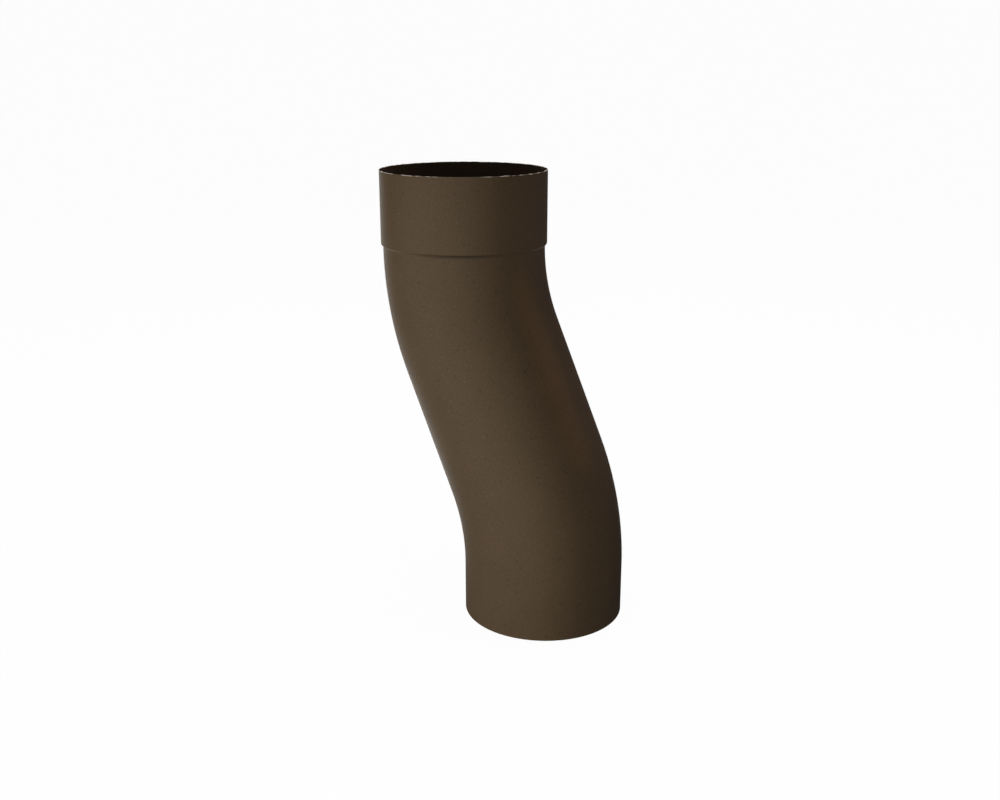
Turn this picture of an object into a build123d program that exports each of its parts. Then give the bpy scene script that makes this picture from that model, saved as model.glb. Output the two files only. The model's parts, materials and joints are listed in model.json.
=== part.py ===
from build123d import *

import os
from math import acos, atan2, degrees, hypot

# Offset elbow for a round steel downpipe: one thin-walled tube, bent twice and swaged out to a socket.
# Sizes are in millimetres. The origin is the centre of the lower rim, +Z runs up the spigot's axis,
# and the tube steps across towards -X on its way up to the socket.

# The tube
pipe_diameter = 100.0  # outside
wall = 0.7  # coated sheet

# The run of its centreline, from the lower rim upwards
spigot_length = 31.5  # straight end that goes into the pipe below
bend_radius = 150.0  # one and a half diameters, for both bends
middle_run = 80.0  # straight between the bends
offset_distance = 60.0  # from the spigot's axis across to the socket's

# The socket that takes the pipe above
socket_clearance = 0.65  # gap all round the pipe that goes in
socket_depth = 44.0  # straight wall above the shoulder
shoulder_round = 1.0  # inner side of both of the shoulder's bends
edge_chamfer = 0.15  # deburring along the cut edges

pipe_radius = pipe_diameter / 2
bore_radius = pipe_radius - wall
socket_bore_radius = pipe_radius + socket_clearance
socket_radius = socket_bore_radius + wall


def turn_of_step(step, both_radii, straight=0.0):
    """Angle of two equal and opposite bends, with a straight between them, that step across by this much."""
    return degrees(acos((both_radii - step) / hypot(both_radii, straight)) - atan2(straight, both_radii))


bend_angle = turn_of_step(offset_distance, 2 * bend_radius, middle_run)
shoulder_angle = turn_of_step(socket_radius - pipe_radius, 2 * shoulder_round + wall)

with BuildLine(Plane.XZ) as centreline:
    spigot_line = Line((0, 0), (0, spigot_length))
    lower_bend = JernArc(spigot_line @ 1, spigot_line % 1, bend_radius, bend_angle)
    middle_line = Line(lower_bend @ 1, lower_bend @ 1 + middle_run * (lower_bend % 1))
    upper_bend = JernArc(middle_line @ 1, middle_line % 1, bend_radius, -bend_angle)

socket_foot = (upper_bend @ 1).Z
socket_axis = Axis((-offset_distance, 0, 0), (0, 0, 1))


def square_to(line):
    """The plane across the tube where this stretch of its centreline starts."""
    return Plane(origin=line @ 0, x_dir=(0, 1, 0), z_dir=line % 0)


def pipe_ring():
    """The tube's wall, cut square across."""
    Circle(pipe_radius)
    Circle(bore_radius, mode=Mode.SUBTRACT)


with BuildPart() as offset_elbow:
    # Spigot
    with BuildSketch(square_to(spigot_line)):
        pipe_ring()
    extrude(amount=spigot_length)

    # Lower bend, away from the spigot's axis
    with BuildSketch(square_to(lower_bend)):
        pipe_ring()
    revolve(axis=Axis(lower_bend.arc_center, (0, -1, 0)), revolution_arc=bend_angle)

    # Straight run between the bends
    with BuildSketch(square_to(middle_line)):
        pipe_ring()
    extrude(amount=middle_run)

    # Upper bend, back to upright
    with BuildSketch(square_to(upper_bend)):
        pipe_ring()
    revolve(axis=Axis(upper_bend.arc_center, (0, 1, 0)), revolution_arc=bend_angle)

    # Shoulder and socket: the sheet's outer skin, thickened inwards and turned about the socket's axis,
    # so that the wall keeps its thickness round both of the shoulder's bends
    with BuildSketch(Plane.XZ):
        with BuildLine():
            bend_out = JernArc(
                (pipe_radius - offset_distance, socket_foot), (0, 1), shoulder_round, -shoulder_angle
            )
            bend_back = JernArc(bend_out @ 1, bend_out % 1, shoulder_round + wall, shoulder_angle)
            Line(bend_back @ 1, bend_back @ 1 + (0, socket_depth))
            offset(amount=wall, side=Side.LEFT)
        make_face()
    revolve(axis=socket_axis)

    # Both rims are cut square and deburred
    rings = offset_elbow.edges().filter_by(GeomType.CIRCLE).group_by(Axis.Z)
    chamfer(rings[0] + rings[-1], length=edge_chamfer)

offset_elbow.part.label = "offset_elbow"

os.makedirs("parts", exist_ok=True)
export_step(offset_elbow.part, "parts/offset_elbow.step")
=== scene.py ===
import json
from math import acos, atan2, cos, hypot, radians, sin

import bpy
from mathutils import Matrix, Vector


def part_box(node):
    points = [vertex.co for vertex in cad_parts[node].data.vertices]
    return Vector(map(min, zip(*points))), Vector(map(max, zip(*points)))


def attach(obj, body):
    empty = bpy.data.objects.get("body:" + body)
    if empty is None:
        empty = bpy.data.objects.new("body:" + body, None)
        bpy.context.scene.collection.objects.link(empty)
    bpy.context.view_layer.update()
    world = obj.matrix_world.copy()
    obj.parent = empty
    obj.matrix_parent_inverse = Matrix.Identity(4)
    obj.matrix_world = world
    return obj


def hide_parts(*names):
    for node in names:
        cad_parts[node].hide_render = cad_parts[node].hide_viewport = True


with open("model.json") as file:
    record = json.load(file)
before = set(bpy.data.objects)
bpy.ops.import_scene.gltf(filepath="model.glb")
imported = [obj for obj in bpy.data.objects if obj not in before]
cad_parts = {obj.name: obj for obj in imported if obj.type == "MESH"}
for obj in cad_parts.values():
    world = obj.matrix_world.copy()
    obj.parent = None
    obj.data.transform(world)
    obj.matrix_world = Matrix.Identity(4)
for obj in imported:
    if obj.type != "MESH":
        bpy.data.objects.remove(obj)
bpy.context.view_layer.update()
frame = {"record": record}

# An offset elbow for a round steel downpipe, standing on its spigot in a pale studio.
# Lengths are in metres, in the frame of the CAD part: +Z up the spigot's axis, the socket across towards -X.

mm = 0.001

# The part's own sizes, from its record where it gives them
mounts = {mount["name"]: mount for mount in frame["record"]["mounts"]}
pipe_radius = mounts["spigot"]["dims"]["r_mm"] * mm
socket_bore_radius = mounts["socket"]["dims"]["r_mm"] * mm
socket_x = mounts["socket"]["pos_m"][0]
mouth_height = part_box("offset_elbow")[1].z
spigot_length = 31.5 * mm
bend_radius = 150 * mm
middle_run = 80 * mm
wall = 0.7 * mm
shoulder_round = 1.0 * mm
edge_round = 0.2 * mm
socket_radius = socket_bore_radius + wall

# The mark that the swaging roll leaves in the shoulder
roll_mark_height = 3.0 * mm
roll_mark_depth = 0.25 * mm
roll_mark_rise = 0.7 * mm  # from the shoulder's foot up to its middle
roll_mark_full = 3 * mm  # as far as this from the front it keeps its depth
roll_mark_reach = 30 * mm  # and as far as this it has run out

# How finely the shell is divided
points_round = 192
bend_steps = 48
shoulder_steps = 8
edge_steps = 3
sharp_corner = radians(60)  # a corner that turns more than this is rounded off
smooth_corner = radians(40)  # and one that turns less than this is shaded as a curve

# The camera, as it stood for the photograph
camera_bearing = radians(33.55)  # looking this far from +Y towards -X
camera_dip = radians(16.815)
camera_distance = 664.8 * mm  # level, from the spigot's axis
camera_sidestep = 27.85 * mm  # to the left of that axis
camera_height = 338.9 * mm
camera_lens = 40.66  # in mm, like the sensor's width
camera_sensor = 36


def turn_of_step(step, both_radii, straight=0.0):
    """Angle of two equal and opposite bends, with a straight between them, that step across by this much."""
    return acos((both_radii - step) / hypot(both_radii, straight)) - atan2(straight, both_radii)


bend = turn_of_step(-socket_x, 2 * bend_radius, middle_run)
socket_foot = spigot_length + 2 * bend_radius * sin(bend) + middle_run * cos(bend)


def deselect_all():
    """Leave nothing selected. The CAD nodes come in selected."""
    bpy.ops.object.select_all(action="DESELECT")


def apply_modifier(piece, kind, **settings):
    """Give a piece a modifier with these settings, and apply it."""
    modifier = piece.modifiers.new(kind.title(), kind)
    for name, value in settings.items():
        setattr(modifier, name, value)
    bpy.ops.object.modifier_apply(modifier=modifier.name)


def raise_ring(rise, growth=1.0, centre=(0, 0, 0)):
    """Extrude the selected ring of edges upwards, and then widen it about its centre."""
    bpy.ops.mesh.extrude_region_move(TRANSFORM_OT_translate={"value": (0, 0, rise)})
    if growth != 1.0:
        bpy.ops.transform.resize(value=(growth, growth, 1), center_override=centre)


def socket_front(height):
    """The point of the socket's skin, at this height, that is its front in the photograph."""
    across = socket_radius * sin(camera_bearing)
    forward = socket_radius * cos(camera_bearing)
    return Vector((socket_x + across, -forward, height))


def roll_mark_share(place):
    """Depth of the swaging roll's mark at a place on the skin, as a share of its full depth at the front."""
    middle = socket_front(socket_foot + roll_mark_rise)
    across = min(abs(place.z - middle.z) / (roll_mark_height / 2), 1)
    soft_side = across ** 2 * (3 - 2 * across)
    along = ((place - middle).length - roll_mark_full) / (roll_mark_reach - roll_mark_full)
    run_out = min(max(along, 0), 1)
    return 1 - max(soft_side, run_out)


def press_roll_mark(elbow):
    """Press the roll's mark into the shoulder's skin, and note its depth for the shade that the coat paints
    into the mark.
    """
    shares = [roll_mark_share(vertex.co) for vertex in elbow.data.vertices]
    pressed = elbow.vertex_groups.new(name="pressed")
    for index, share in enumerate(shares):
        pressed.add([index], share, "REPLACE")
    # the same depth share sets the painted shade in the coat
    elbow.data.attributes.new("roll_mark", "FLOAT", "POINT").data.foreach_set("value", shares)
    apply_modifier(elbow, "DISPLACE", vertex_group="pressed", strength=-roll_mark_depth, mid_level=0)
    elbow.vertex_groups.clear()


def model_elbow(outside, inside, cut_edge):
    """The elbow's outer skin, drawn out ring by ring from the lower rim, then given its wall and edges."""
    deselect_all()
    bpy.ops.mesh.primitive_circle_add(vertices=points_round, radius=pipe_radius, fill_type="NOTHING")
    elbow = bpy.context.active_object
    elbow.name = "elbow_shell"
    bpy.ops.object.mode_set(mode="EDIT")
    bpy.ops.mesh.select_all(action="SELECT")

    # Spigot, lower bend, slanted run and upper bend
    raise_ring(spigot_length)
    bpy.ops.mesh.spin(
        steps=bend_steps, angle=bend, center=(-bend_radius, 0, spigot_length), axis=(0, 1, 0)
    )
    slant = (-middle_run * sin(bend), 0, middle_run * cos(bend))
    bpy.ops.mesh.extrude_region_move(TRANSFORM_OT_translate={"value": slant})
    bpy.ops.mesh.spin(
        steps=bend_steps, angle=bend, center=(socket_x + bend_radius, 0, socket_foot), axis=(0, -1, 0)
    )

    # Shoulder: out and back by the same angle, the outer skin's second arc wider by the wall
    turn = turn_of_step(socket_radius - pipe_radius, 2 * shoulder_round + wall)
    radius = pipe_radius
    height = socket_foot
    for arc_radius, start, finish in ((shoulder_round, 0, turn), (shoulder_round + wall, turn, 0)):
        for step in range(shoulder_steps):
            here = start + (finish - start) * step / shoulder_steps
            there = start + (finish - start) * (step + 1) / shoulder_steps
            rise = arc_radius * abs(sin(there) - sin(here))
            wider = radius + arc_radius * abs(cos(there) - cos(here))
            height += rise
            raise_ring(rise, wider / radius, (socket_x, 0, height))
            radius = wider

    # Socket
    raise_ring(mouth_height - height)
    bpy.ops.mesh.select_all(action="SELECT")
    bpy.ops.mesh.remove_doubles(threshold=wall / 100)
    bpy.ops.mesh.normals_make_consistent(inside=False)
    bpy.ops.object.mode_set(mode="OBJECT")
    press_roll_mark(elbow)

    # The sheet's wall goes inwards, and both cut edges are rounded off
    for material in (outside, inside, cut_edge):
        elbow.data.materials.append(material)
    apply_modifier(
        elbow, "SOLIDIFY", thickness=wall, offset=-1, use_even_offset=True, material_offset=1,
        material_offset_rim=2,
    )
    apply_modifier(
        elbow, "BEVEL", width=edge_round, segments=edge_steps, limit_method="ANGLE", angle_limit=sharp_corner,
        material=2,
    )
    bpy.ops.object.shade_smooth_by_angle(angle=smooth_corner)
    return elbow


def linear(hex_colour):
    """An sRGB colour such as #4B3E30 as the linear colour that a shader takes."""
    channels = [int(hex_colour[place:place + 2], 16) / 255 for place in (1, 3, 5)]
    return [c / 12.92 if c <= 0.04045 else ((c + 0.055) / 1.055) ** 2.4 for c in channels] + [1.0]


def add_node(tree, kind, inputs=None, **settings):
    """Add a node, with its settings, and with its inputs set to values or linked to other nodes' outputs."""
    node = tree.nodes.new(kind)
    for name, value in settings.items():
        setattr(node, name, value)
    for name, value in (inputs or {}).items():
        if isinstance(value, bpy.types.NodeSocket):
            tree.links.new(value, node.inputs[name])
        else:
            node.inputs[name].default_value = value
    return node


def new_material(name):
    """A material with an empty node tree, and that tree."""
    material = bpy.data.materials.new(name)
    material.use_nodes = True
    material.node_tree.nodes.clear()
    return material, material.node_tree


def finish_material(tree, shader):
    """Make this shader the material's surface."""
    add_node(tree, "ShaderNodeOutputMaterial", {"Surface": shader.outputs[0]})


def textured_polyester_coat():
    """Matt polyester coil coating in sepia brown: its fine grain softens every highlight to a sheen."""
    grain = 0.9 * mm  # the real grain is about 0.15 mm, drawn coarser so that it shows
    grain_height = 0.1 * mm
    speck = 0.8 * mm  # single grains that stand out, drawn coarser as well
    drift = 25 * mm  # slow change of shade along the sheet
    material, tree = new_material("textured_polyester_coat")
    place = add_node(tree, "ShaderNodeTexCoord").outputs["Object"]
    shades = add_node(
        tree, "ShaderNodeTexNoise", {"Vector": place, "Scale": 1 / drift, "Detail": 1.0}
    ).outputs["Fac"]
    base = add_node(
        tree, "ShaderNodeMix", {"Factor": shades, "A": linear("#55442F"), "B": linear("#4F3F2B")},
        data_type="RGBA"
    ).outputs["Result"]
    grains = add_node(
        tree, "ShaderNodeTexNoise", {"Vector": place, "Scale": 1 / grain, "Detail": 2.0, "Roughness": 0.6}
    ).outputs["Fac"]
    mottle = add_node(
        tree, "ShaderNodeMapRange",
        {"Value": grains, "From Min": 0.3, "From Max": 0.7, "To Min": 0.88, "To Max": 1.12}
    ).outputs["Result"]

    # One grain in fifty is a dark pit, and one in fifty a bright speck
    cells = add_node(tree, "ShaderNodeTexVoronoi", {"Vector": place, "Scale": 1 / speck}).outputs["Color"]
    chance = add_node(tree, "ShaderNodeSeparateColor", {"Color": cells}).outputs["Red"]
    pits = add_node(
        tree, "ShaderNodeMapRange",
        {"Value": chance, "From Min": 0.0, "From Max": 0.02, "To Min": 0.6, "To Max": 1.0}
    ).outputs["Result"]
    glints = add_node(
        tree, "ShaderNodeMapRange",
        {"Value": chance, "From Min": 0.98, "From Max": 1.0, "To Min": 1.0, "To Max": 1.3}
    ).outputs["Result"]

    # Painted shade: the coat is darker in the roll's mark, deepest at the front, standing in for the shadow
    # in the groove
    mark = add_node(tree, "ShaderNodeAttribute", attribute_name="roll_mark").outputs["Fac"]
    painted_groove_shade = add_node(
        tree, "ShaderNodeMapRange", {"Value": mark, "To Min": 1.0, "To Max": 0.5}
    ).outputs["Result"]

    colour = base
    # the last tone is the painted shade in the roll's mark
    for tone in (mottle, pits, glints, painted_groove_shade):
        colour = add_node(
            tree, "ShaderNodeMix", {"Factor": 1.0, "A": colour, "B": tone},
            data_type="RGBA", blend_type="MULTIPLY"
        ).outputs["Result"]
    bump = add_node(
        tree, "ShaderNodeBump", {"Height": grains, "Strength": 0.4, "Distance": grain_height}
    ).outputs["Normal"]
    shader = add_node(
        tree, "ShaderNodeBsdfPrincipled", {
            "Base Color": colour, "Roughness": 0.7, "Specular IOR Level": 0.25, "Normal": bump
        }
    )
    finish_material(tree, shader)
    return material


def backing_coat():
    """The thinner backing coat on the sheet's inner side: the same brown, laid on smooth."""
    drift = 18 * mm  # slow change of shade along the sheet
    material, tree = new_material("backing_coat")
    place = add_node(tree, "ShaderNodeTexCoord").outputs["Object"]
    shades = add_node(
        tree, "ShaderNodeTexNoise", {"Vector": place, "Scale": 1 / drift, "Detail": 2.0}
    ).outputs["Fac"]
    colour = add_node(
        tree, "ShaderNodeMix", {"Factor": shades, "A": linear("#52412D"), "B": linear("#4C3C2A")},
        data_type="RGBA"
    ).outputs["Result"]
    shader = add_node(
        tree, "ShaderNodeBsdfPrincipled", {"Base Color": colour, "Roughness": 0.7, "Specular IOR Level": 0.25}
    )
    finish_material(tree, shader)
    return material


def cut_steel_edge():
    """Sheared edge of the galvanised sheet: bright zinc and steel, which the coat has run over in places."""
    creep = 3.5 * mm  # from one such place to the next
    covered = 20 * mm  # the coat covers the socket's edge up to here from its front
    material, tree = new_material("cut_steel_edge")
    place = add_node(tree, "ShaderNodeTexCoord").outputs["Object"]
    creeps = add_node(
        tree, "ShaderNodeTexNoise", {"Vector": place, "Scale": 1 / creep, "Detail": 2.0}
    ).outputs["Fac"]
    bare = add_node(
        tree, "ShaderNodeMapRange", {"Value": creeps, "From Min": 0.44, "From Max": 0.54}
    ).outputs["Result"]
    away = add_node(
        tree, "ShaderNodeVectorMath", {0: place, 1: socket_front(mouth_height)}, operation="DISTANCE"
    ).outputs["Value"]
    open_edge = add_node(
        tree, "ShaderNodeMapRange", {"Value": away, "From Min": covered / 2, "From Max": covered}
    ).outputs["Result"]
    bare = add_node(tree, "ShaderNodeMath", {0: bare, 1: open_edge}, operation="MULTIPLY").outputs["Value"]
    colour = add_node(
        tree, "ShaderNodeMix", {"Factor": bare, "A": linear("#503F2C"), "B": linear("#F2EEE6")},
        data_type="RGBA"
    ).outputs["Result"]
    shader = add_node(
        tree, "ShaderNodeBsdfPrincipled", {"Base Color": colour, "Metallic": bare, "Roughness": 0.6}
    )
    finish_material(tree, shader)
    return material


def pale_studio_paper():
    """Seamless white background paper, so evenly lit that it glows."""
    material, tree = new_material("pale_studio_paper")
    lit = add_node(tree, "ShaderNodeBsdfDiffuse", {"Color": linear("#454545")})
    glow = add_node(tree, "ShaderNodeEmission", {"Color": linear("#FFFFFF"), "Strength": 0.97})
    finish_material(tree, add_node(tree, "ShaderNodeAddShader", {0: lit.outputs[0], 1: glow.outputs[0]}))
    return material


def build_stage():
    """A round floor that curves up into a wall, out of every light's way."""
    floor_radius = 3.0
    wall_height = 3.0
    sweep = 1.0  # radius of the curve from the floor into the wall
    deselect_all()
    bpy.ops.mesh.primitive_circle_add(vertices=96, radius=floor_radius, fill_type="NGON")
    paper = bpy.context.active_object
    paper.name = "studio_paper"
    bpy.ops.object.mode_set(mode="EDIT")
    bpy.ops.mesh.select_all(action="SELECT")
    bpy.ops.mesh.extrude_region_move(TRANSFORM_OT_translate={"value": (0, 0, wall_height)})
    bpy.ops.mesh.delete(type="ONLY_FACE")
    bpy.ops.object.mode_set(mode="OBJECT")
    apply_modifier(paper, "BEVEL", width=sweep, segments=16, limit_method="ANGLE", angle_limit=sharp_corner)
    bpy.ops.object.shade_smooth()
    paper.data.materials.append(pale_studio_paper())

    # It throws neither light nor shade on the elbow, and isn't mirrored in it
    paper.visible_diffuse = False
    paper.visible_glossy = False
    paper.visible_shadow = False
    return paper


def add_light(name, place, turn, size, power, lit, colour="#FFFFFF"):
    """A soft light that the camera doesn't see, kept to one piece as if by barn doors."""
    bpy.ops.object.light_add(type="AREA", location=place, rotation=turn)
    light = bpy.context.active_object
    light.name = name
    light.data.shape = "RECTANGLE"
    light.data.size, light.data.size_y = size
    light.data.energy = power
    light.data.color = linear(colour)[:3]
    light.visible_camera = False
    piece_lit = bpy.data.collections.new(name + "_lights")
    piece_lit.objects.link(lit)
    light.light_linking.receiver_collection = piece_lit
    return light


def spot_round(bearing, distance, height):
    """A place round the elbow. Bearing 0 stands on the camera's side, and positive goes to its right."""
    around = camera_bearing + radians(bearing)
    return Vector((socket_x / 2 + distance * sin(around), -distance * cos(around), height))


def add_softbox(name, bearing, distance, height, size, power, lit, colour="#FFFFFF"):
    """A softbox on a stand, looking at the elbow's middle."""
    place = spot_round(bearing, distance, height)
    aim = place - Vector((socket_x / 2, 0, mouth_height / 2))
    add_light(name, place, aim.to_track_quat("Z", "Y").to_euler(), size, power, lit, colour)


def add_floor_card(name, bearing, distance, size, power, lit):
    """A bright card lying face up, which lights the elbow from below and shows in its grazing edges."""
    height = -5 * mm  # just under the lower rim, so that its light reaches the rim too
    face_up = radians(180)
    turn = (face_up, 0, camera_bearing + radians(bearing))
    add_light(name, spot_round(bearing, distance, height), turn, size, power, lit)


def add_strip_light(name, bearing, distance, size, power, lit, colour):
    """A thin oval light behind a fine honeycomb, which lays a faint streak along the slanted run."""
    opening = radians(2.2)  # how far the honeycomb lets its light spread
    lift = 10 * mm  # the streak's middle, up the run from the run's own
    along = Vector((-sin(bend), 0, cos(bend)))
    towards = spot_round(bearing, distance, 0) - spot_round(bearing, 0, 0)
    across = along.cross(towards).normalized()
    outward = across.cross(along)
    run_middle = Vector((socket_x / 2, 0, (spigot_length + socket_foot) / 2))
    place = run_middle + lift * along + distance * outward
    turn = Matrix((across, along, outward)).transposed().to_euler()
    strip = add_light(name, place, turn, size, power, lit, colour)
    strip.data.shape = "ELLIPSE"
    strip.data.spread = opening
    strip.visible_glossy = False  # the streak alone, with no gleam of the light in the coat


def light_studio(elbow, paper):
    """Soft lights round the elbow, one over the paper, and a little light from all round."""
    stand = 0.8  # from the elbow's middle out to a light's stand
    small_box = (0.2, 0.22)
    large_box = (0.25, 0.3)
    overhead_box = (0.3, 0.3)
    card = (0.2, 0.4)
    card_distance = 0.35
    strip = (12 * mm, 130 * mm)
    paper_box = 1.5  # its sides, and its height over the floor

    # Each one's bearing in degrees, its distance, its height if it has one, its size and its power in watts
    add_softbox("key_softbox", -60, stand, 0.12, small_box, 2.7, elbow)
    add_softbox("front_softbox", -15, stand, 0.12, small_box, 2.5, elbow)
    add_softbox("left_rear_softbox", -147, stand, 0.16, large_box, 1.2, elbow)
    add_softbox("right_rear_softbox", 115, stand, 0.20, large_box, 0.55, elbow, "#FFDACB")
    add_softbox("overhead_softbox", 180, 0.3, 1.00, overhead_box, 3.4, elbow, "#FFF1ED")
    add_floor_card("left_floor_card", -165, card_distance, card, 1.6, elbow)
    add_floor_card("far_left_floor_card", -135, card_distance, card, 0.55, elbow)
    add_floor_card("right_floor_card", 165, card_distance, card, 0.9, elbow)
    add_strip_light("warm_strip_light", 46, stand, strip, 0.00085, elbow, "#FFDFC8")
    add_light("paper_softbox", (0, 0, paper_box), (0, 0, 0), (paper_box, paper_box), 8.0, paper)

    world = bpy.data.worlds.new("studio_air")
    bpy.context.scene.world = world
    world.use_nodes = True
    air = world.node_tree.nodes["Background"]
    air.inputs["Color"].default_value = linear("#FFFFFF")
    air.inputs["Strength"].default_value = 0.11
    bpy.context.scene.view_settings.view_transform = "Standard"


def place_camera():
    """The camera, at the photograph's viewing angle."""
    ahead = Vector((-sin(camera_bearing), cos(camera_bearing), 0))
    right = Vector((cos(camera_bearing), sin(camera_bearing), 0))
    place = -ahead * camera_distance - right * camera_sidestep + Vector((0, 0, camera_height))
    bpy.ops.object.camera_add(location=place, rotation=(radians(90) - camera_dip, 0, camera_bearing))
    camera = bpy.context.active_object
    camera.data.lens = camera_lens
    camera.data.sensor_width = camera_sensor
    camera.data.clip_start = 0.01
    bpy.context.scene.camera = camera


elbow = model_elbow(textured_polyester_coat(), backing_coat(), cut_steel_edge())
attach(elbow, "root")
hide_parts("offset_elbow")

light_studio(elbow, build_stage())
place_camera()
